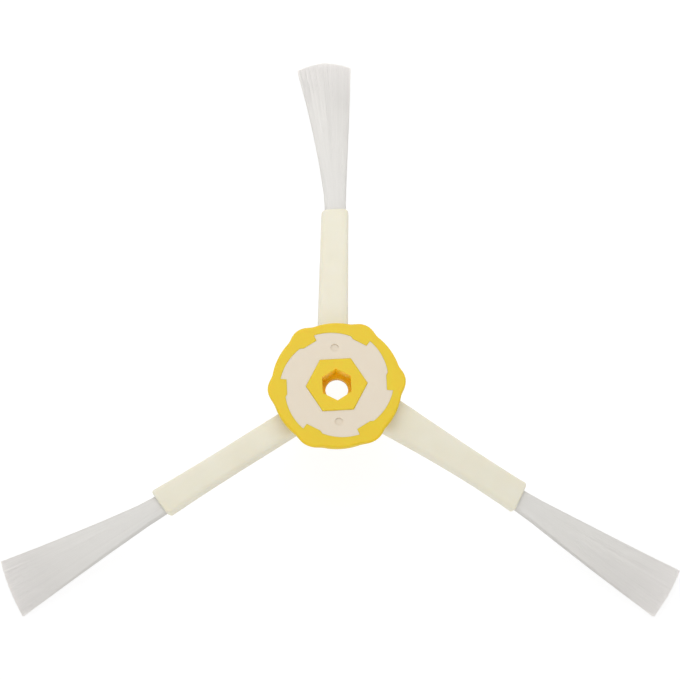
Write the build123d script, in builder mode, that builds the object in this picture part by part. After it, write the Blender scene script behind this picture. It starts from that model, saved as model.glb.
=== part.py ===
"""Three-armed side brush for a floor-cleaning robot, in millimetres.

The hub axis is Z and the robot is above: the origin is on the axis, in the top face of the
hexagonal boss that the drive shaft enters. The arms slope down and out, and the brush
rests on the ends of its three tufts.
"""
import os
from math import cos, degrees, radians, sin, sqrt, tan

from build123d import *

# Fits
fit_gap = 0.1
disc_gap = 0.03
cut_margin = 1.0

# Hub, seen from above: a round lip with six rounded lugs, and a hexagonal boss in the middle
hub_turn = 3.0
lip_radius = 14.52
lugs = 6
lug_turn = 1.4
lug_stand = 0.9
lug_round = 4.0
lug_blend = 3.0
boss_flats = 11.95
socket_flats = 6.4
hole_diameter = 5.1
well_diameter = 9.6

# Hub, seen from the side
rim_drop = 0.2
lip_height = 2.0
lip_overhang = 1.2
lip_edge = 0.4
lug_land = 0.05
body_taper = 1.6
base_round = 2.4
floor_thickness = 1.6
socket_depth = 4.0
web_thickness = 1.2
boss_edge = 0.2

# Saw-toothed seat of the disc: each tooth is followed by a ramp that widens to the next tooth
teeth = 6
rim_width = 1.92
ramp_rise = 0.85
tooth_height = 0.5
tooth_start = -9.3
tooth_end = 8.0
tooth_lead = 3.0
seat_ledge = 0.85
column_ledge = 0.6

# Retaining disc
disc_drop = 0.25
disc_thickness = 1.8
mark_diameter = 1.9
mark_depth = 0.3

# Arms: soft bars, each with a wide root inside the hub and a course and width of its own
arm_azimuths = (88.9, 210.0, 329.45)
arm_offsets = (1.15, 1.0, 1.06)
arm_reaches = (45.5, 46.2, 46.85)
arm_bows = (0.0, 0.0, 0.25)
arm_slope = 11.4
arm_root_widths = (6.95, 6.0, 8.6)
arm_middle_widths = (6.6, 6.05, 7.2)
arm_neck_widths = (6.3, 6.45, 6.7)
arm_end_widths = (6.25, 6.9, 7.05)
arm_middle_share = 0.42
arm_neck_share = 0.83
arm_root_height = 5.0
arm_end_height = 4.5
arm_round = 1.4
arm_end_edge = 0.4
root_width = 11.0
root_headroom = 0.9

# Tufts: a fused stem in the arm's bore, then a fan of straight filaments
bore_width = 4.9
bore_height = 3.1
bore_shifts = (-0.22, 0.37, -0.41)
stem_depth = 14.0
mouth_recess = 0.6
tuft_length = 39.6
tuft_lift = 2.2
tuft_leans = (4.95, -2.35, -0.85)
tip_widths = (12.9, 13.6, 12.2)
tip_thickness = 3.0
tip_arches = (1.3, 0.3, 0.3)
tip_slants = (-1.0, 1.7, 0.0)
strand_size = 0.24
strand_inset = 0.36
strand_bite = 0.3
strand_columns = 12
strand_rows = 7

# Radii that follow from these sizes
half_corner = radians(180 / lugs)
lug_flat_radius = (lip_radius + lug_stand + lug_round * (1 / cos(half_corner) - 1)) * cos(half_corner)
waist_radius = lip_radius - lip_overhang
base_radius = waist_radius - body_taper
ramp_high_radius = lip_radius - rim_width
ramp_low_radius = ramp_high_radius - ramp_rise
tooth_radius = ramp_low_radius - tooth_height
chamber_radius = tooth_radius - seat_ledge
column_radius = boss_flats / 2 / cos(radians(30)) + column_ledge
mark_radius = (boss_flats / 2 + tooth_radius) / 2
root_middle_radius = (column_radius + chamber_radius) / 2

# Levels that follow, downwards from the boss's top face
lip_top = -rim_drop
lip_bottom = lip_top - lip_height
disc_top = -disc_drop
seat_level = disc_top - disc_thickness
chamber_height = arm_root_height + 2 * root_headroom
chamber_floor = seat_level - chamber_height
hub_bottom = chamber_floor - floor_thickness
socket_floor = -socket_depth
web_bottom = socket_floor - web_thickness

# Stations that follow, outwards along an arm from where its axis passes the hub axis
arm_run = 1 / cos(radians(arm_slope))
arm_start_level = (seat_level + chamber_floor) / 2 + root_middle_radius * tan(radians(arm_slope))
root_station = root_middle_radius * arm_run
end_stations = [reach * arm_run for reach in arm_reaches]
stem_stations = [station - stem_depth for station in end_stations]
mouth_stations = [station - mouth_recess for station in end_stations]

hub_plane = Plane.XY.rotated((0, 0, hub_turn))
arm_indices = range(len(arm_azimuths))


def on_circle(radius, angle):
    """Point on a circle round the hub axis."""
    return (radius * cos(radians(angle)), radius * sin(radians(angle)))


def hexagon(level, flats, turn=0.0):
    """Regular hexagon round the hub axis, by its distance across flats."""
    with BuildSketch(hub_plane.offset(level)) as outline:
        RegularPolygon(flats / 2, 6, major_radius=False, rotation=turn)
    return outline.sketch


def saw_tooth_disc(level, inset):
    """Outline of the disc's seat, drawn in by the inset: a chord at each tooth, then a widening arc."""
    tooth = tooth_radius - inset
    ramp_low = ramp_low_radius - inset
    ramp_high = ramp_high_radius - inset
    inset_turn = degrees(inset / tooth_radius)
    with BuildSketch(hub_plane.offset(level)) as outline:
        with BuildLine():
            for count in range(teeth):
                step = count * 360 / teeth + tooth_start - inset_turn
                flat_end = count * 360 / teeth + tooth_end + inset_turn
                ramp_start = flat_end + tooth_lead
                next_step = step + 360 / teeth
                Polyline(
                    on_circle(ramp_high, step),
                    on_circle(tooth, step),
                    on_circle(tooth, flat_end),
                    on_circle(ramp_low, ramp_start),
                )
                ThreePointArc(
                    on_circle(ramp_low, ramp_start),
                    on_circle((ramp_low + ramp_high) / 2, (ramp_start + next_step) / 2),
                    on_circle(ramp_high, next_step),
                )
        make_face()
    return outline.sketch


def lip_underside():
    """Half section of the room under the lugs: a cone that trims them to the lip's lower edge."""
    inner = Vector(lip_radius - lip_edge, lip_bottom)
    outer = Vector(lip_radius + lug_stand, lip_top - lip_edge - lug_land)
    low = inner - (outer - inner) / 2
    high = outer + (outer - inner) / 2
    with BuildSketch(Plane.XZ) as section:
        with BuildLine():
            Polyline((low.X, low.Y), (high.X, high.Y), (high.X, low.Y), close=True)
        make_face()
    return section.sketch


def chamber_section(inset):
    """Half section of the ring-shaped chamber round the hub's column, drawn in by the inset."""
    with BuildSketch(Plane.XZ) as section:
        with Locations((root_middle_radius, (seat_level + chamber_floor) / 2)):
            Rectangle(chamber_radius - column_radius - 2 * inset, chamber_height - 2 * inset)
    return section.sketch


def arm_plane(index, station):
    """Plane across an arm at a station along it: X is sideways, Y up and Z out along the arm."""
    azimuth = radians(arm_azimuths[index])
    slope = radians(arm_slope)
    sideways = Vector(-sin(azimuth), cos(azimuth), 0)
    outward = Vector(cos(azimuth) * cos(slope), sin(azimuth) * cos(slope), -sin(slope))
    start = sideways * arm_offsets[index] + Vector(0, 0, arm_start_level)
    return Plane(origin=start, x_dir=sideways, z_dir=outward).offset(station)


def arm_sections(index, growth):
    """The arm's soft rectangular sections from its root to its end, grown to make room for it."""
    first = root_station - growth
    run = end_stations[index] + growth - first
    widths = (
        (0, arm_root_widths[index]),
        (arm_middle_share, arm_middle_widths[index]),
        (arm_neck_share, arm_neck_widths[index]),
        (1, arm_end_widths[index]),
    )
    sections = []
    for share, width in widths:
        height = arm_root_height + share * (arm_end_height - arm_root_height)
        bow = arm_bows[index] * 4 * share * (1 - share)
        with BuildSketch(arm_plane(index, first + share * run)) as section:
            with Locations((bow, 0)):
                RectangleRounded(width + 2 * growth, height + 2 * growth, arm_round + growth)
        sections.append(section.sketch)
    return sections


def stem_section(index, station, inset):
    """Oval section of the tuft's stem, or of the bore that holds it."""
    with BuildSketch(arm_plane(index, station)) as section:
        with Locations((bore_shifts[index], 0)):
            Ellipse(bore_width / 2 - inset, bore_height / 2 - inset)
    return section.sketch


def strand(index, row, column):
    """One filament: a straight prism from its place in the stem's oval to the tuft's cut end."""
    across = 2 * column / (strand_columns - 1) - 1
    up = 2 * row / (strand_rows - 1) - 1
    oval_across = across * sqrt(1 - up**2 / 2)
    oval_up = up * sqrt(1 - across**2 / 2)
    plane = arm_plane(index, mouth_stations[index] - strand_bite)
    mouth_side = bore_width / 2 - strand_inset
    mouth_rise = bore_height / 2 - strand_inset
    tip_side = (tip_widths[index] - strand_size) / 2
    tip_rise = (tip_thickness - strand_size) / 2
    cut_back = tip_arches[index] * across**2 + tip_slants[index] * (1 - across) / 2
    length = strand_bite + mouth_recess + tuft_length - cut_back
    sideways = length * tan(radians(tuft_leans[index])) + across * tip_side - oval_across * mouth_side
    upward = length * tan(radians(tuft_lift)) + oval_up * (tip_rise - mouth_rise)
    travel = plane.x_dir * sideways + plane.y_dir * upward + plane.z_dir * length
    with BuildSketch(plane) as section:
        with Locations((bore_shifts[index] + oval_across * mouth_side, oval_up * mouth_rise)):
            RegularPolygon(strand_size / 2, 6, major_radius=False, rotation=30)
    return extrude(section.sketch, amount=travel.length, dir=travel, mode=Mode.PRIVATE)


os.makedirs("parts", exist_ok=True)

# Hub: lugged lip on a tapered body, hollowed for the disc and the arms' roots, with a hexagonal boss
with BuildPart() as hub:
    with BuildSketch(hub_plane.offset(lip_bottom)) as lip_outline:
        RegularPolygon(lug_flat_radius, lugs, major_radius=False, rotation=lug_turn)
        fillet(lip_outline.vertices(), lug_round)
        Circle(lip_radius)
        fillet(lip_outline.vertices().sort_by_distance((0, 0))[: 2 * lugs], lug_blend)
    extrude(amount=lip_height)
    fillet(hub.edges().group_by(Axis.Z)[-1], lip_edge)
    revolve(lip_underside(), mode=Mode.SUBTRACT)
    with BuildSketch(Plane.XZ) as body_section:
        with BuildLine():
            Polyline(
                (0, lip_top - lip_edge),
                (waist_radius, lip_top - lip_edge),
                (waist_radius, lip_bottom),
                (base_radius, hub_bottom),
                (0, hub_bottom),
                close=True,
            )
        make_face()
        fillet(body_section.vertices().group_by(Axis.Y)[0].sort_by(Axis.X)[-1], base_round)
    revolve()
    extrude(saw_tooth_disc(seat_level, 0), amount=cut_margin - seat_level, mode=Mode.SUBTRACT)
    revolve(chamber_section(0), mode=Mode.SUBTRACT)
    extrude(hexagon(seat_level, boss_flats), amount=-seat_level)
    chamfer(hub.edges().group_by(Axis.Z)[-1], boss_edge)
    for index in arm_indices:
        loft(arm_sections(index, fit_gap), mode=Mode.SUBTRACT)
    extrude(hexagon(socket_floor, socket_flats, turn=30), amount=socket_depth, mode=Mode.SUBTRACT)
    with Locations(Location((0, 0, hub_bottom), (180, 0, 0))):
        CounterBoreHole(
            hole_diameter / 2, well_diameter / 2, web_bottom - hub_bottom, socket_floor - hub_bottom
        )
hub.part.label = "hub"
export_step(hub.part, "parts/hub.step")

# Retaining disc: saw-edged disc that closes the chamber, with two round ejector marks
with BuildPart() as retaining_disc:
    extrude(saw_tooth_disc(seat_level, disc_gap), amount=disc_thickness)
    extrude(hexagon(seat_level, boss_flats + 2 * disc_gap), amount=disc_thickness, mode=Mode.SUBTRACT)
    with BuildSketch(hub_plane.offset(disc_top)):
        with PolarLocations(mark_radius, 2, start_angle=90):
            Circle(mark_diameter / 2)
    extrude(amount=-mark_depth, mode=Mode.SUBTRACT)
retaining_disc.part.label = "retaining_disc"
export_step(retaining_disc.part, "parts/retaining_disc.step")

# Arms: a root that fills its stretch of the chamber, then a tapering bar with a bore at its end
for index in arm_indices:
    name = f"arm_{index + 1}"
    outward = Vector(*on_circle(1, arm_azimuths[index]))
    across_root = arm_plane(index, 0).origin + Vector(0, 0, chamber_floor - arm_start_level)
    with BuildPart() as arm:
        revolve(chamber_section(fit_gap))
        with BuildSketch(Plane(origin=across_root, x_dir=outward, z_dir=(0, 0, 1))):
            Rectangle(chamber_radius, root_width, align=(Align.MIN, Align.CENTER))
        extrude(amount=chamber_height, mode=Mode.INTERSECT)
        loft(arm_sections(index, 0))
        end_plane = arm_plane(index, end_stations[index])
        fillet(arm.faces().sort_by(Axis(end_plane.origin, end_plane.z_dir))[-1].edges(), arm_end_edge)
        extrude(stem_section(index, stem_stations[index], 0), amount=stem_depth, mode=Mode.SUBTRACT)
    arm.part.label = name
    export_step(arm.part, f"parts/{name}.step")

# Tufts: the stem, then the filaments that stand in its end
for index in arm_indices:
    name = f"tuft_{index + 1}"
    with BuildPart() as tuft:
        stem = stem_section(index, stem_stations[index] + fit_gap, fit_gap)
        extrude(stem, amount=stem_depth - mouth_recess - fit_gap)
        add([strand(index, row, column) for row in range(strand_rows) for column in range(strand_columns)])
    tuft.part.label = name
    export_step(tuft.part, f"parts/{name}.step")
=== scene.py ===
# %% [markdown]
# # A three-armed side brush for a floor-cleaning robot
#
# The brush is a yellow moulded hub with an off-white disc keyed into it, three soft cream arms and
# three tufts of white nylon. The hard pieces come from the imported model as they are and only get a
# finish here. The arms and the tufts are soft, so they are modelled again: the arms as moulded bars
# with rounded edges and a mould line, and the tufts filament by filament.

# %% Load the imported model
import random
from math import cos, pi, radians, sin, sqrt, tan

import bmesh
import bpy
from mathutils import Matrix, Vector, noise


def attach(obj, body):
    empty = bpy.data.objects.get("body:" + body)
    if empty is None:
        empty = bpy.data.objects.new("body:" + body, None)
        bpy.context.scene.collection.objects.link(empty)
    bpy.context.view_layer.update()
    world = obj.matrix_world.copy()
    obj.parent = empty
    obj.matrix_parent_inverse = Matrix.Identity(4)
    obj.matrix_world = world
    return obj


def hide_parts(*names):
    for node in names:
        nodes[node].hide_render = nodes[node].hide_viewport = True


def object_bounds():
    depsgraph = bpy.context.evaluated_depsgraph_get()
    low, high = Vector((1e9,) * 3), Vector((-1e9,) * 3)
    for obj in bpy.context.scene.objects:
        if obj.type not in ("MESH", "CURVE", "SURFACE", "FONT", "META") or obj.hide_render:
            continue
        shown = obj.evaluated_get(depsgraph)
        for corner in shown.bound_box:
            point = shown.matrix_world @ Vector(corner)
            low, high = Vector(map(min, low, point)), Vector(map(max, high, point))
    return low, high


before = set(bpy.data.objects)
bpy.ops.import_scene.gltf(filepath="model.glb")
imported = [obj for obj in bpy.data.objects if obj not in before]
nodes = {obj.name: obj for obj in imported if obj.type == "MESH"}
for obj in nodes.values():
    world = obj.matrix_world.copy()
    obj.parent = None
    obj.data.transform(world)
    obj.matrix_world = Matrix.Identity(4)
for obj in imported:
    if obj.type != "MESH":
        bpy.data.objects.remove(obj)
cad_low, cad_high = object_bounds()
print("nodes:", sorted(nodes))
print("box of the brush in mm:", [round(1000 * side, 1) for side in cad_high - cad_low])

# %% [markdown]
# Every length in the scene is in metres, but a brush is thought of in millimetres. One constant turns
# one into the other. Colours are written as the hex values that a colour picker gives. Shaders want
# linear light, so one function undoes the screen's curve, channel by channel.

# %% Millimetres and colours
MM = 0.001


def linear_colour(hex_code):
    """Linear RGBA of an sRGB hex value such as "ECCD3C"."""
    channels = [int(hex_code[i:i + 2], 16) / 255 for i in (0, 2, 4)]
    channels = [c / 12.92 if c <= 0.04045 else ((c + 0.055) / 1.055) ** 2.4 for c in channels]
    return (*channels, 1.0)


print("mid grey 808080 in linear light:", round(linear_colour("808080")[0], 3))

# %% [markdown]
# A material is a small graph of nodes. Three helpers keep the graphs short to read: one adds a node
# with its settings and inputs, where an input is either a plain value or the socket that feeds it,
# one starts a material, and one gives the size of a noise pattern from a real length. Patterns read
# Object coordinates, which are metres in the frame of the brush, so a pattern sits still on its piece.

# %% Helpers for materials
def add_node(tree, kind, settings, inputs):
    """Adds a node, sets its properties, and gives each input a value or a link from a socket."""
    node = tree.nodes.new(kind)
    for name, value in settings.items():
        setattr(node, name, value)
    for name, value in inputs.items():
        if isinstance(value, bpy.types.NodeSocket):
            tree.links.new(value, node.inputs[name])
        else:
            node.inputs[name].default_value = value
    return node


def new_material(name):
    """An empty node material and its tree."""
    material = bpy.data.materials.new(name)
    material.use_nodes = True
    material.node_tree.nodes.clear()
    return material, material.node_tree


def per_metre(size_mm):
    """Scale of a pattern whose features are this many millimetres apart."""
    return 1 / (size_mm * MM)


# %% [markdown]
# The hub is injection-moulded ABS in a warm yellow. The mould was spark-eroded, so the skin is satin
# with a very fine grain, and the colour drifts a little where the plastic flowed. Two noises give
# drift and grain, and a small subsurface share gives the soft look of ABS. The walls of the drive socket
# glow orange, because light bounces there from yellow to yellow, more often than the renderer follows
# it. So that bounce light is painted into the colour as a deeper orange: all of the hub that lies below
# its top face and nearer to the axis than the socket's corners.

# %% Yellow moulded ABS
def yellow_abs():
    """Moulded ABS with a spark-eroded skin: satin, warm, slightly translucent, with painted bounce light in
    its socket.
    """
    drift_mm, grain_mm = 7.0, 0.35
    socket_corner, below_top = 3.8 * MM, -0.1 * MM
    material, tree = new_material("moulded_ABS_yellow_satin")
    place = add_node(tree, "ShaderNodeTexCoord", {}, {}).outputs["Object"]
    drift = add_node(tree, "ShaderNodeTexNoise", {}, {
        "Vector": place, "Scale": per_metre(drift_mm), "Detail": 2.0})
    skin_colour = add_node(tree, "ShaderNodeMix", {"data_type": "RGBA"}, {
        0: drift.outputs[0], 6: linear_colour("E1C003"), 7: linear_colour("E7C80B")})
    from_axis = add_node(tree, "ShaderNodeVectorMath", {"operation": "MULTIPLY"}, {
        0: place, 1: (1.0, 1.0, 0.0)})
    radius = add_node(tree, "ShaderNodeVectorMath", {"operation": "LENGTH"}, {0: from_axis.outputs[0]})
    inside = add_node(tree, "ShaderNodeMath", {"operation": "LESS_THAN"}, {
        0: radius.outputs["Value"], 1: socket_corner})
    height = add_node(tree, "ShaderNodeSeparateXYZ", {}, {0: place})
    below = add_node(tree, "ShaderNodeMath", {"operation": "LESS_THAN"}, {
        0: height.outputs["Z"], 1: below_top})
    # Painted bounce light: inside the socket's corners and below the top face, the colour turns a deeper
    # orange.
    painted_bounce_mask = add_node(tree, "ShaderNodeMath", {"operation": "MULTIPLY"}, {
        0: inside.outputs[0], 1: below.outputs[0]})
    colour = add_node(tree, "ShaderNodeMix", {"data_type": "RGBA"}, {
        0: painted_bounce_mask.outputs[0], 6: skin_colour.outputs[2], 7: linear_colour("FFD200")})
    # The eroded grain is nearer 0.05 mm; it is drawn coarser so that it shows at this distance.
    grain = add_node(tree, "ShaderNodeTexNoise", {}, {
        "Vector": place, "Scale": per_metre(grain_mm), "Detail": 3.0})
    satin = add_node(tree, "ShaderNodeMapRange", {}, {
        0: grain.outputs[0], "To Min": 0.45, "To Max": 0.58})
    skin = add_node(tree, "ShaderNodeBump", {}, {
        "Strength": 0.08, "Distance": 0.02 * MM, "Height": grain.outputs[0]})
    plastic = add_node(tree, "ShaderNodeBsdfPrincipled", {}, {
        "Base Color": colour.outputs[2], "Roughness": satin.outputs[0], "IOR": 1.53,
        "Subsurface Weight": 0.25, "Subsurface Radius": (1.0, 0.4, 0.05),
        "Subsurface Scale": 1.2 * MM, "Normal": skin.outputs[0]})
    add_node(tree, "ShaderNodeOutputMaterial", {}, {"Surface": plastic.outputs[0]})
    return material


hub_finish = yellow_abs()
print("hub finish:", hub_finish.name)

# %% [markdown]
# The retaining disc is natural polypropylene: white with a touch of pink and cream, waxy and slightly
# see-through at its edges. It was moulded in a smoother tool than the hub, so it keeps a broad, soft
# shine. Faint flow clouds stop the large flat ring from looking like paper.

# %% Natural moulded polypropylene
def natural_polypropylene():
    """Moulded polypropylene without pigment: waxy, off-white, broad soft shine."""
    cloud_mm, grain_mm = 5.0, 0.5
    material, tree = new_material("moulded_polypropylene_natural")
    place = add_node(tree, "ShaderNodeTexCoord", {}, {}).outputs["Object"]
    cloud = add_node(tree, "ShaderNodeTexNoise", {}, {
        "Vector": place, "Scale": per_metre(cloud_mm), "Detail": 3.0})
    colour = add_node(tree, "ShaderNodeMix", {"data_type": "RGBA"}, {
        0: cloud.outputs[0], 6: linear_colour("DED1BD"), 7: linear_colour("E3D8C5")})
    grain = add_node(tree, "ShaderNodeTexNoise", {}, {
        "Vector": place, "Scale": per_metre(grain_mm), "Detail": 2.0})
    skin = add_node(tree, "ShaderNodeBump", {}, {
        "Strength": 0.05, "Distance": 0.02 * MM, "Height": grain.outputs[0]})
    waxy = add_node(tree, "ShaderNodeMapRange", {}, {
        0: cloud.outputs[0], "To Min": 0.38, "To Max": 0.5})
    plastic = add_node(tree, "ShaderNodeBsdfPrincipled", {}, {
        "Base Color": colour.outputs[2], "Roughness": waxy.outputs[0], "IOR": 1.49,
        "Subsurface Weight": 0.2, "Subsurface Radius": (1.0, 0.85, 0.7),
        "Subsurface Scale": 0.8 * MM, "Normal": skin.outputs[0]})
    add_node(tree, "ShaderNodeOutputMaterial", {}, {"Surface": plastic.outputs[0]})
    return material


disc_finish = natural_polypropylene()
print("disc finish:", disc_finish.name)

# %% [markdown]
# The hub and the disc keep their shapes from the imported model, so each only has its one material
# slot filled with the new finish.

# %% Dress the hub and the disc
for node_name, finish in (("hub", hub_finish), ("retaining_disc", disc_finish)):
    mesh = nodes[node_name].data
    mesh.materials.clear()
    mesh.materials.append(finish)
    print(node_name, "has", len(mesh.polygons), "triangles in", finish.name)

# %% [markdown]
# The arms are a soft thermoplastic elastomer in cream. Such a skin is matt with a faint velvet sheen
# at grazing angles, and the colour is a little uneven because the pigment is poorly mixed in soft
# grades. The sheen is a plain value on the shader, and broad noise gives the unevenness.

# %% Cream elastomer
def cream_elastomer():
    """Moulded thermoplastic elastomer: matt, soft, a little uneven in colour."""
    cloud_mm, grain_mm = 6.0, 0.4
    material, tree = new_material("moulded_elastomer_cream")
    place = add_node(tree, "ShaderNodeTexCoord", {}, {}).outputs["Object"]
    cloud = add_node(tree, "ShaderNodeTexNoise", {}, {
        "Vector": place, "Scale": per_metre(cloud_mm), "Detail": 3.0})
    colour = add_node(tree, "ShaderNodeMix", {"data_type": "RGBA"}, {
        0: cloud.outputs[0], 6: linear_colour("E6E0CA"), 7: linear_colour("ECE8D8")})
    grain = add_node(tree, "ShaderNodeTexNoise", {}, {
        "Vector": place, "Scale": per_metre(grain_mm), "Detail": 3.0})
    skin = add_node(tree, "ShaderNodeBump", {}, {
        "Strength": 0.15, "Distance": 0.03 * MM, "Height": grain.outputs[0]})
    matt = add_node(tree, "ShaderNodeMapRange", {}, {
        0: grain.outputs[0], "To Min": 0.55, "To Max": 0.7})
    rubber = add_node(tree, "ShaderNodeBsdfPrincipled", {}, {
        "Base Color": colour.outputs[2], "Roughness": matt.outputs[0], "IOR": 1.5,
        "Subsurface Weight": 0.25, "Subsurface Radius": (1.0, 0.8, 0.5),
        "Subsurface Scale": 1.0 * MM, "Sheen Weight": 0.05, "Sheen Roughness": 0.5,
        "Normal": skin.outputs[0]})
    add_node(tree, "ShaderNodeOutputMaterial", {}, {"Surface": rubber.outputs[0]})
    return material


arm_finish = cream_elastomer()
print("arm finish:", arm_finish.name)

# %% [markdown]
# Each arm is built lying along its own axis: x is sideways, y is up and z is outward. One matrix then
# puts it in place. The arms slope down to the floor, and their axes pass a little beside the hub's
# axis, so the matrix is made from the azimuth, the slope and that offset. Soft arms take a set in
# their packet, so no two of the three lie quite alike.

# %% Where the arms lie
ARMS = range(3)
ARM_AZIMUTHS = (radians(88.9), radians(210.0), radians(329.45))
ARM_OFFSETS = (1.15 * MM, 1.0 * MM, 1.06 * MM)
ARM_REACHES = (45.5 * MM, 46.2 * MM, 46.85 * MM)
ARM_SLOPE = radians(11.4)
ARM_START_LEVEL = -3.645 * MM
END_STATIONS = [reach / cos(ARM_SLOPE) for reach in ARM_REACHES]


def arm_matrix(index):
    """Places x sideways, y up and z outward along an arm."""
    azimuth = ARM_AZIMUTHS[index]
    sideways = Vector((-sin(azimuth), cos(azimuth), 0))
    outward = Vector((cos(azimuth) * cos(ARM_SLOPE), sin(azimuth) * cos(ARM_SLOPE), -sin(ARM_SLOPE)))
    start = sideways * ARM_OFFSETS[index] + Vector((0, 0, ARM_START_LEVEL))
    turn = Matrix((sideways, outward.cross(sideways), outward)).transposed().to_4x4()
    return Matrix.Translation(start) @ turn


print("the arms end at", [round(station / MM, 2) for station in END_STATIONS], "mm along their axes")

# %% [markdown]
# A helper turns a finished bmesh into a piece of the brush. It moves the mesh into place, smooths its
# shading except at real corners, gives it its finish and slot, lets it ride on the body of the brush,
# and hides the plain solid that it stands for.

# %% Finish a piece
MOULDED_CORNER, FILAMENT_CORNER = radians(40), radians(70)


def finish_piece(bm, place, name, finish, replaced, corner):
    """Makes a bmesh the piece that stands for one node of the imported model."""
    bmesh.ops.transform(bm, matrix=place, verts=bm.verts)
    mesh = bpy.data.meshes.new(name)
    bm.to_mesh(mesh)
    bm.free()
    mesh.shade_smooth()
    mesh.set_sharp_from_angle(angle=corner)
    mesh.materials.append(finish)
    piece = bpy.data.objects.new(name, mesh)
    bpy.context.scene.collection.objects.link(piece)
    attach(piece, "root")
    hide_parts(replaced)
    return piece


# %% [markdown]
# An arm could be a cube with bevelled edges, but its section changes along the way: a wide head inside
# the hub, a bar that narrows, a rounded end and an oval bore. So it is drawn as a sweep. A circle of
# vertices is extruded from section to section, and each section says where a vertex with a given
# angle goes. A superellipse is a handy section, because one number takes it from an oval to a soft
# rectangle. A few extra vertices at mid height make the fine line where the halves of the mould met.

# %% A sweep from section to section
RING_STEP_DEGREES = 7.5
RING_STEPS = round(360 / RING_STEP_DEGREES)
MOULD_LINE_ANGLE = radians(0.25)
SIDE_ANGLES = (0.0, pi)
RING_ANGLES = sorted(
    [radians(RING_STEP_DEGREES * i) for i in range(RING_STEPS)]
    + [(side + turn) % (2 * pi) for side in SIDE_ANGLES for turn in (-MOULD_LINE_ANGLE, MOULD_LINE_ANGLE)]
)


def superellipse(angle, width, height, squareness):
    """Point of an oval at squareness 2, and of a soft rectangle at 3 or more."""
    across, up = cos(angle), sin(angle)
    bulge = 2 / squareness
    x = width / 2 * abs(across) ** bulge
    y = height / 2 * abs(up) ** bulge
    return (x if across >= 0 else -x), (y if up >= 0 else -y)


def sweep(sections):
    """Closed skin through a list of functions that each place the vertex of a ring angle."""
    bm = bmesh.new()
    ring_place = bm.verts.layers.int.new("ring_place")
    start = bmesh.ops.create_circle(bm, cap_ends=False, segments=len(RING_ANGLES), radius=1)["verts"]
    edges = bm.edges[:]
    for count, vertex in enumerate(start):
        vertex[ring_place] = count
        vertex.co = sections[0](RING_ANGLES[count])
    bmesh.ops.edgeloop_fill(bm, edges=edges)
    for section in sections[1:]:
        drawn = bmesh.ops.extrude_edge_only(bm, edges=edges)["geom"]
        edges = [e for e in drawn if isinstance(e, bmesh.types.BMEdge) and e.is_boundary]
        for vertex in (v for v in drawn if isinstance(v, bmesh.types.BMVert)):
            vertex.co = section(RING_ANGLES[vertex[ring_place]])
    bmesh.ops.edgeloop_fill(bm, edges=edges)
    bmesh.ops.recalc_face_normals(bm, faces=bm.faces)
    return bm


print("each ring has", len(RING_ANGLES), "vertices")

# %% [markdown]
# Now the arm's own sections, from the inside out: the head that the disc traps in the hub, which stands
# upright although the arm slopes, the bar, the rounded end, and the bore. The bar's width is known at
# four places, and a polynomial through them gives a smooth course between. Soft plastic never comes
# out dead straight, so the bar's sides also wander by a few hundredths of a millimetre.

# %% The course of an arm's width
WIDTH_SHARES = (0.0, 0.42, 0.83, 1.0)
ARM_WIDTHS = ((6.95, 6.6, 6.3, 6.25), (6.0, 6.05, 6.45, 6.9), (8.6, 7.2, 6.7, 7.05))
ARM_BOWS = (0.0, 0.0, 0.25 * MM)
ROOT_STATION = 9.13 * MM
MIDDLE_STATION = 30 * MM
# The wander fades out over the last quarter of the bar, so that the end keeps its measured width.
WANDER, WANDER_LENGTH, WANDER_FADE = 0.05 * MM, 9.0 * MM, 4


def bar_course(index, station):
    """Width of an arm at a station along it, and how far its middle bows sideways there."""
    share = (station - ROOT_STATION) / (END_STATIONS[index] - ROOT_STATION)
    width = 0.0
    for own, known in zip(WIDTH_SHARES, ARM_WIDTHS[index]):
        weight = known * MM
        for other in WIDTH_SHARES:
            if other != own:
                weight *= (share - other) / (own - other)
        width += weight
    fade = min(WANDER_FADE * (1 - share), 1)
    width += WANDER * noise.noise((station / WANDER_LENGTH, index, 0)) * fade
    return width, ARM_BOWS[index] * 4 * share * (1 - share)


for index in ARMS:
    middle_width, _ = bar_course(index, MIDDLE_STATION)
    print("arm", index + 1, "is", round(middle_width / MM, 2), "mm wide in its middle")

# %% [markdown]
# Each section is a small function that says where the vertex of a ring angle goes. The arms were cut
# from their sprue by hand, so their ends are not quite square: the last rings lean by that slant.

# %% Model the arms
HEAD_NEAR, HEAD_FAR = 7.65 * MM, 8.75 * MM
HEAD_WIDTH, HEAD_HEIGHT = 10.6 * MM, 6.5 * MM
ROOT_HEIGHT, END_HEIGHT = 5.0 * MM, 4.5 * MM
# The upright head turns into the sloping bar over this length.
HEAD_BLEND = ROOT_HEIGHT / 3
BAR_SQUARENESS, HEAD_SQUARENESS, OVAL = 4.4, 9.0, 2.0
END_ROUNDS, MOUTH_ROUND = (0.9 * MM, 0.6 * MM, 0.6 * MM), 0.2 * MM
# Depth below the end and widening of the bore there, both as multiples of the mouth's rounding.
MOUTH_STEPS = ((0.0, 2.0), (0.3, 0.6), (1.0, 0.0))
END_SLANTS, SLANT_LENGTH = (-0.07, -0.10, -0.09), 8.0 * MM
BORE_WIDTH, BORE_HEIGHT, BORE_DEPTH = 4.9 * MM, 3.1 * MM, 14.0 * MM
BORE_SHIFTS = (-0.22 * MM, 0.37 * MM, -0.41 * MM)
MOULD_LINE_STAND = 0.04 * MM
BAR_RINGS, ROUND_RINGS = 36, 6


def upright_section(radius, width, height, squareness):
    """Section that stands upright at a distance from the hub's axis."""
    def place(angle):
        x, rise = superellipse(angle, width, height, squareness)
        station = radius / cos(ARM_SLOPE)
        return Vector((x, rise * cos(ARM_SLOPE), station - rise * sin(ARM_SLOPE)))
    return place


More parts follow.
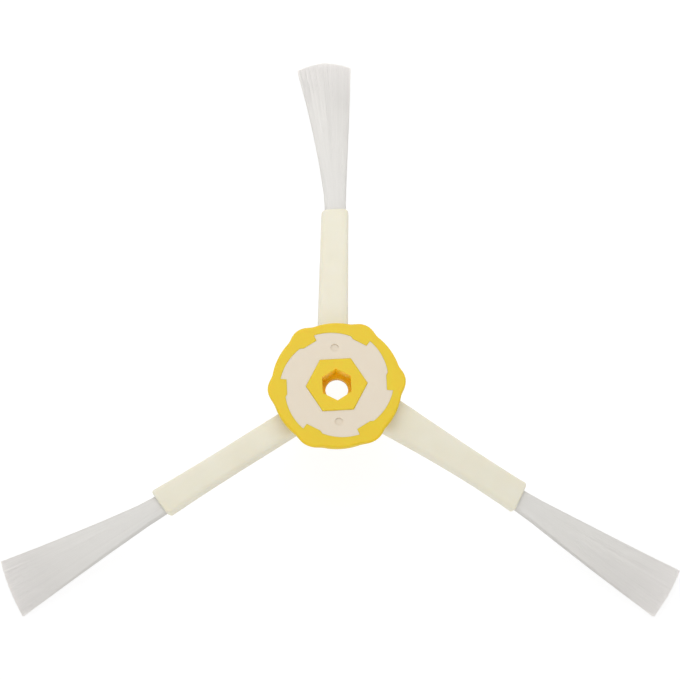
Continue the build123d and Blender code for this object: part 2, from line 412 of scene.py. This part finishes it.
def bar_section(station, width, height, squareness, shift=0.0, slant=0.0, line=0.0):
    """Section across the arm's axis, with a shift, a slant and a mould line at its sides."""
    def place(angle):
        x, y = superellipse(angle, width, height, squareness)
        if angle in SIDE_ANGLES:
            x += line if x > 0 else -line
        return Vector((x + shift, y, station + slant * x))
    return place


def arm_sections(index):
    """All the sections of an arm, from its head to the bottom of its bore."""
    end_station, end_round, end_slant = END_STATIONS[index], END_ROUNDS[index], END_SLANTS[index]
    bar_start = (HEAD_FAR + HEAD_BLEND) / cos(ARM_SLOPE)
    bar_end = end_station - end_round
    root_width, root_bow = bar_course(index, bar_start)
    sections = [
        upright_section(HEAD_NEAR, HEAD_WIDTH, HEAD_HEIGHT, HEAD_SQUARENESS),
        upright_section(HEAD_FAR, HEAD_WIDTH, HEAD_HEIGHT, HEAD_SQUARENESS),
        upright_section(HEAD_FAR, root_width, ROOT_HEIGHT, BAR_SQUARENESS),
    ]
    for ring in range(BAR_RINGS):
        share = ring / (BAR_RINGS - 1)
        station = bar_start + share * (bar_end - bar_start)
        width, bow = bar_course(index, station)
        height = ROOT_HEIGHT + share * (END_HEIGHT - ROOT_HEIGHT)
        slant = end_slant * max(0.0, 1 - (bar_end - station) / SLANT_LENGTH)
        sections.append(bar_section(station, width, height, BAR_SQUARENESS, bow, slant, MOULD_LINE_STAND))
    for ring in range(1, ROUND_RINGS + 1):
        turn = pi / 2 * ring / ROUND_RINGS
        inset = 2 * end_round * (1 - cos(turn))
        sections.append(bar_section(bar_end + end_round * sin(turn), width - inset, END_HEIGHT - inset,
                                    BAR_SQUARENESS, bow, end_slant))
    for depth_share, widen_share in MOUTH_STEPS:
        station, widen = end_station - depth_share * MOUTH_ROUND, widen_share * MOUTH_ROUND
        sections.append(bar_section(station, BORE_WIDTH + widen, BORE_HEIGHT + widen, OVAL,
                                    BORE_SHIFTS[index], end_slant))
    sections.append(bar_section(end_station - BORE_DEPTH, BORE_WIDTH, BORE_HEIGHT, OVAL, BORE_SHIFTS[index]))
    return sections


for index in ARMS:
    arm = finish_piece(sweep(arm_sections(index)), arm_matrix(index), f"soft_arm_{index + 1}",
                       arm_finish, f"arm_{index + 1}", MOULDED_CORNER)
    print(arm.name, "has", len(arm.data.polygons), "faces")

# %% [markdown]
# The tufts are nylon monofilament, drawn through a die and cut straight. White nylon sends nearly all
# light back, so light that enters a tuft bounces from filament to filament and comes out again, and a
# tuft never turns black between its filaments. A plastic that is almost pure white gives that by
# itself. No two filaments catch the light alike, so each carries a tone of its own as an attribute of
# its mesh. Near the arm the filaments lie tight and send back more light than at their tips, so painted
# light in the same attribute makes the colour lighter towards the tip to even that out.

# %% Nylon filament
def nylon_filament():
    """Drawn nylon: milky white with a soft gloss; each filament has its own tone, plus painted light towards
    its tip.
    """
    material, tree = new_material("drawn_nylon_filament_white")
    tone = add_node(tree, "ShaderNodeAttribute", {"attribute_name": "tone"}, {}).outputs["Fac"]
    # The tone attribute carries each filament's own tone and painted light that lightens it towards the tip.
    colour = add_node(tree, "ShaderNodeMix", {"data_type": "RGBA"}, {
        0: tone, 6: linear_colour("E0DEDA"), 7: linear_colour("FEFBF8")}).outputs[2]
    nylon = add_node(tree, "ShaderNodeBsdfPrincipled", {}, {
        "Base Color": colour, "Roughness": 0.5, "IOR": 1.53})
    add_node(tree, "ShaderNodeOutputMaterial", {}, {"Surface": nylon.outputs[0]})
    return material


filament_finish = nylon_filament()
print("filament finish:", filament_finish.name)

# %% [markdown]
# A tuft is a fused stem, hidden in the bore, and over a thousand filaments that fan out from it. One
# straight filament is modelled as a thin cone of six sides with equal ends, cut into short lengths so
# that it can bend. Every other one is a copy of it whose vertices are moved along its own path.

# %% One straight filament
FILAMENT_WIDTH = 0.1 * MM
FILAMENT_SIDES, FILAMENT_CUTS = 6, 4


def straight_filament():
    """Filament from 0 to 1 along z, with rings to bend it at."""
    bm = bmesh.new()
    bmesh.ops.create_cone(bm, cap_ends=True, segments=FILAMENT_SIDES, radius1=FILAMENT_WIDTH / 2,
                          radius2=FILAMENT_WIDTH / 2, depth=1.0)
    bmesh.ops.translate(bm, vec=(0, 0, 0.5), verts=bm.verts)
    long_edges = [e for e in bm.edges if abs(e.verts[0].co.z - e.verts[1].co.z) > 0.5]
    bmesh.ops.subdivide_edges(bm, edges=long_edges, cuts=FILAMENT_CUTS)
    bm.verts.layers.float.new("tone")
    return bm


pattern_filament = straight_filament()
print("one filament has", len(pattern_filament.faces), "faces")

# %% [markdown]
# The filaments stand in the oval mouth of the arm and spread to a flat fan with a clean cut. In the fan
# they lie side by side in flat layers, as they do after weeks in a packet. In the narrow mouth a layer
# has no room for that, so each filament has two heights, one in the mouth and one in the fan. Each then
# leans, flares and bends a little of its own, with a fixed seed so that every run is the same.

# %% The path of a filament
MOUTH_RECESS = 0.6 * MM
TUFT_LENGTH = 39.6 * MM
TUFT_LIFT = radians(2.2)
TUFT_LEANS = (radians(4.95), radians(-2.35), radians(-0.85))
TIP_WIDTHS = (12.9 * MM, 13.6 * MM, 12.2 * MM)
TIP_THICKNESS, EDGE_THINNING = 3.0 * MM, 0.8
TIP_ARCHES, ARCH_POWER = (1.3 * MM, 0.3 * MM, 0.3 * MM), 1.4
TIP_SLANTS = (-1.0 * MM, 1.7 * MM, 0.0)
FLARES = (1.2, 1.27, 1.08)
# Bow of a fan's two sides: first the side where across is negative, then the other.
SIDE_BOWS = ((-0.25 * MM, 0.5 * MM), (0.0, -0.18 * MM), (-0.35 * MM, 0.0))
FILAMENT_BITE = 3.0 * MM
STEM_RECESS = FILAMENT_BITE / 3
STEM_GAP = 0.1 * MM
# Most filaments end near the cut and a few fall short: a power of the draw does that.
CUT_SCATTER, CUT_POWER = 0.12 * MM, 3
STRAY, CURL = 0.025 * MM, 0.02 * MM
MOUTH_SIDE = BORE_WIDTH / 2 - STEM_GAP - FILAMENT_WIDTH
MOUTH_RISE = BORE_HEIGHT / 2 - STEM_GAP - FILAMENT_WIDTH


def filament_path(index, across, mouth_up, tip_up, draw):
    """Path of one filament of a tuft: a function from 0 at the stem to 1 at the cut end."""
    start_x = across * sqrt(1 - mouth_up ** 2 / 2) * MOUTH_SIDE
    start_y = mouth_up * sqrt(1 - across ** 2 / 2) * MOUTH_RISE
    end_x = across * ((TIP_WIDTHS[index] - FILAMENT_WIDTH) / 2 - STRAY) + draw.uniform(-STRAY, STRAY)
    end_y = tip_up * sqrt(1 - EDGE_THINNING * across ** 2) * ((TIP_THICKNESS - FILAMENT_WIDTH) / 2 - STRAY)
    end_y += draw.uniform(-STRAY, STRAY)
    cut_back = TIP_ARCHES[index] * abs(across) ** ARCH_POWER + TIP_SLANTS[index] * (1 - across) / 2
    free_length = MOUTH_RECESS + TUFT_LENGTH - cut_back - draw.random() ** CUT_POWER * CUT_SCATTER
    length = FILAMENT_BITE + free_length
    curl = draw.uniform(-CURL, CURL) * (1 - abs(across)) - SIDE_BOWS[index][across > 0] * across

    def place(t):
        free = max(0.0, (t * length - FILAMENT_BITE) / free_length)
        x = start_x + free ** FLARES[index] * (end_x - start_x) + curl * 4 * free * (1 - free)
        x += free * free_length * tan(TUFT_LEANS[index]) + BORE_SHIFTS[index]
        y = start_y + free * (end_y - start_y) + free * free_length * tan(TUFT_LIFT)
        return Vector((x, y, END_STATIONS[index] - MOUTH_RECESS - FILAMENT_BITE + t * length))

    return place


tip = filament_path(0, 0.0, 0.0, 0.0, random.Random(0))(1.0)
print("the middle filament of tuft 1 ends", [round(value / MM, 2) for value in tip], "mm along arm 1")

# %% [markdown]
# With the paths known, a tuft is a loop over layers and columns: copy the pattern, move its vertices
# along the next path, give them their tone, and join the copy to the rest. Neighbours in a layer stand
# at slightly random depths in the mouth, and at the tip all layers but the outer two mix. A small part
# of the tone is a filament's own, and the rest of it is painted light that rises towards the tip.

# %% Model the tufts
LAYERS, COLUMNS, JUMBLE = 12, 108, 0.25
# Every second layer stands half a column to the side.
FIRST_STAGGER, LAYER_STAGGER = 0.25, 0.5
FIRST_SEED = 11
# Share and curve of the painted light that lightens the filaments towards their tips.
PAINTED_TIP_LIGHT, PAINTED_TIP_LIGHT_CURVE = 0.88, 4


def tuft_bmesh(index):
    """The stem of a tuft and all its filaments in one bmesh."""
    stem_start = END_STATIONS[index] - BORE_DEPTH + STEM_GAP
    stem_end = END_STATIONS[index] - MOUTH_RECESS - STEM_RECESS
    stem_width, stem_height = BORE_WIDTH - 2 * STEM_GAP, BORE_HEIGHT - 2 * STEM_GAP
    bm = sweep([
        bar_section(stem_start, stem_width, stem_height, OVAL, BORE_SHIFTS[index]),
        bar_section(stem_end, stem_width, stem_height, OVAL, BORE_SHIFTS[index]),
    ])
    bm.verts.layers.float.new("tone")
    draw = random.Random(FIRST_SEED + index)
    carrier = bpy.data.meshes.new("filament_carrier")
    for count in range(LAYERS * COLUMNS):
        layer, column = divmod(count, COLUMNS)
        stagger = FIRST_STAGGER + LAYER_STAGGER * (layer % 2)
        across = 2 * (column + stagger) / COLUMNS - 1
        mouth_up = 2 * (layer + 0.5 + JUMBLE * draw.uniform(-0.5, 0.5)) / LAYERS - 1
        mixing = draw.uniform(-0.5, 0.5) if 0 < layer < LAYERS - 1 else 0.0
        tip_up = 2 * (layer + mixing) / (LAYERS - 1) - 1
        path = filament_path(index, across, mouth_up, tip_up, draw)
        filament = pattern_filament.copy()
        tone_and_tip_light_layer = filament.verts.layers.float["tone"]
        tone = draw.random()
        for vertex in filament.verts:
            along = vertex.co.z
            # Painted light: the first term lightens each filament towards its tip; the second is its own
            # tone.
            vertex[tone_and_tip_light_layer] = PAINTED_TIP_LIGHT * along ** PAINTED_TIP_LIGHT_CURVE + (1 - PAINTED_TIP_LIGHT) * tone
            vertex.co = path(along) + Vector((vertex.co.x, vertex.co.y, 0))
        filament.to_mesh(carrier)
        filament.free()
        bm.from_mesh(carrier)
    bpy.data.meshes.remove(carrier)
    return bm


for index in ARMS:
    tuft = finish_piece(tuft_bmesh(index), arm_matrix(index), f"filament_tuft_{index + 1}",
                        filament_finish, f"tuft_{index + 1}", FILAMENT_CORNER)
    print(tuft.name, "has", len(tuft.data.polygons), "faces")
pattern_filament.free()

# %% [markdown]
# The brush lies on a plain white sheet. The sheet is lit like the brush, so that it bounces light up
# into the arms, but the camera sees it lifted to white, as a photographer's backdrop is. The lift is
# light that only the camera, mirrors and glass see: it never lights the brush. A share of the sheet's
# true shading stays in it, so the soft shadow under the brush is kept.

# %% White sheet and surroundings
FLOOR_SIDE = 6.0
SHEET_LIFT, SHEET_SHADE = 0.84, 0.24


def seen_straight(tree):
    """1 for rays from the camera, and for those that a shiny or clear surface sends on."""
    path = add_node(tree, "ShaderNodeLightPath", {}, {})
    shiny = add_node(tree, "ShaderNodeMath", {"operation": "MAXIMUM"}, {
        0: path.outputs["Is Glossy Ray"], 1: path.outputs["Is Transmission Ray"]})
    return add_node(tree, "ShaderNodeMath", {"operation": "MAXIMUM"}, {
        0: path.outputs["Is Camera Ray"], 1: shiny.outputs[0]}).outputs[0]


def white_sheet():
    """Matt white paper that the camera sees lifted to white, with a share of its shading."""
    material, tree = new_material("matt_white_paper_sheet")
    lit = add_node(tree, "ShaderNodeBsdfDiffuse", {}, {"Color": linear_colour("F2F2F2")})
    shade = add_node(tree, "ShaderNodeBsdfDiffuse", {}, {"Color": (SHEET_SHADE,) * 3 + (1.0,)})
    lift = add_node(tree, "ShaderNodeEmission", {}, {"Strength": SHEET_LIFT})
    lifted = add_node(tree, "ShaderNodeAddShader", {}, {0: shade.outputs[0], 1: lift.outputs[0]})
    sheet = add_node(tree, "ShaderNodeMixShader", {}, {
        0: seen_straight(tree), 1: lit.outputs[0], 2: lifted.outputs[0]})
    add_node(tree, "ShaderNodeOutputMaterial", {}, {"Surface": sheet.outputs[0]})
    return material


floor_bm = bmesh.new()
bmesh.ops.create_grid(floor_bm, x_segments=1, y_segments=1, size=FLOOR_SIDE / 2)
bmesh.ops.translate(floor_bm, vec=(0, 0, cad_low.z), verts=floor_bm.verts)
floor_mesh = bpy.data.meshes.new("white_sheet")
floor_bm.to_mesh(floor_mesh)
floor_bm.free()
floor_mesh.materials.append(white_sheet())
floor = bpy.data.objects.new("white_sheet", floor_mesh)
bpy.context.scene.collection.objects.link(floor)
print("the sheet lies at", round(cad_low.z / MM, 2), "mm")

# %% [markdown]
# The light is that of a small product table in a light tent: a soft lamp overhead, towards the back, a
# weaker one from the front left, and pale walls. The tent is brighter near the table than above, so that
# walls and undersides get about as much light as tops. Together the lights come to about 1 on a surface
# that faces up, so colours come out as they are written. The lamps don't show in the picture.

# %% Lamps and surroundings
ZENITH_STRENGTH, HORIZON_STRENGTH = 0.3, 1.1


def soft_lamp(name, place, aim, side, watts):
    """A square soft lamp that points from its place at the aim."""
    data = bpy.data.lights.new(name, "AREA")
    data.shape = "SQUARE"
    data.size = side
    data.energy = watts
    lamp = bpy.data.objects.new(name, data)
    lamp.location = place
    lamp.rotation_euler = (Vector(aim) - Vector(place)).to_track_quat("-Z", "Y").to_euler()
    lamp.visible_camera = False
    bpy.context.scene.collection.objects.link(lamp)
    return lamp


soft_lamp("overhead_lamp", place=(-0.02, 0.2, 0.3), aim=(0, 0, 0), side=0.3, watts=0.62)
soft_lamp("front_lamp", place=(-0.12, -0.55, 0.45), aim=(0, 0, 0), side=0.5, watts=1.0)

world = bpy.data.worlds.new("pale_surroundings")
world.use_nodes = True
world.node_tree.nodes.clear()
direction = add_node(world.node_tree, "ShaderNodeTexCoord", {}, {}).outputs["Generated"]
height = add_node(world.node_tree, "ShaderNodeSeparateXYZ", {}, {0: direction}).outputs["Z"]
tent = add_node(world.node_tree, "ShaderNodeMapRange", {}, {
    0: height, "To Min": HORIZON_STRENGTH, "To Max": ZENITH_STRENGTH})
strength = add_node(world.node_tree, "ShaderNodeMix", {"data_type": "FLOAT"}, {
    0: seen_straight(world.node_tree), 2: tent.outputs[0], 3: 1.0})
surround = add_node(world.node_tree, "ShaderNodeBackground", {}, {
    "Color": (1.0, 1.0, 1.0, 1.0), "Strength": strength.outputs[0]})
add_node(world.node_tree, "ShaderNodeOutputWorld", {}, {"Surface": surround.outputs[0]})
bpy.context.scene.world = world
bpy.context.scene.view_settings.view_transform = "Standard"

# %% [markdown]
# The camera looks down on the hub from the front, 17 degrees off the hub's axis, from about 62
# centimetres. A long lens gives the little perspective that the arms show. It aims a little above the
# hub, so that the three tufts sit evenly in the square picture.

# %% Camera
IMAGE_SIDE = 680
HUB_PIXEL = (336.6, 384.3)
MM_PER_PIXEL = 0.2225
VIEW_TILT = radians(17.0)
VIEW_DISTANCE = 620 * MM
SENSOR_WIDTH = 36.0

toward_camera = Vector((0, -sin(VIEW_TILT), cos(VIEW_TILT)))
picture_right = Vector((1, 0, 0))
picture_up = Vector((0, cos(VIEW_TILT), sin(VIEW_TILT)))
pixel = MM_PER_PIXEL * MM
aim = picture_right * (IMAGE_SIDE / 2 - HUB_PIXEL[0]) * pixel
aim += picture_up * (HUB_PIXEL[1] - IMAGE_SIDE / 2) * pixel
camera_data = bpy.data.cameras.new("product_camera")
camera_data.sensor_width = SENSOR_WIDTH
camera_data.lens = SENSOR_WIDTH * VIEW_DISTANCE / (IMAGE_SIDE * pixel)
camera = bpy.data.objects.new("product_camera", camera_data)
camera.location = toward_camera * VIEW_DISTANCE
camera.rotation_euler = (aim - camera.location).to_track_quat("-Z", "Y").to_euler()
bpy.context.scene.collection.objects.link(camera)
bpy.context.scene.camera = camera
print("lens of", round(camera_data.lens, 1), "mm")
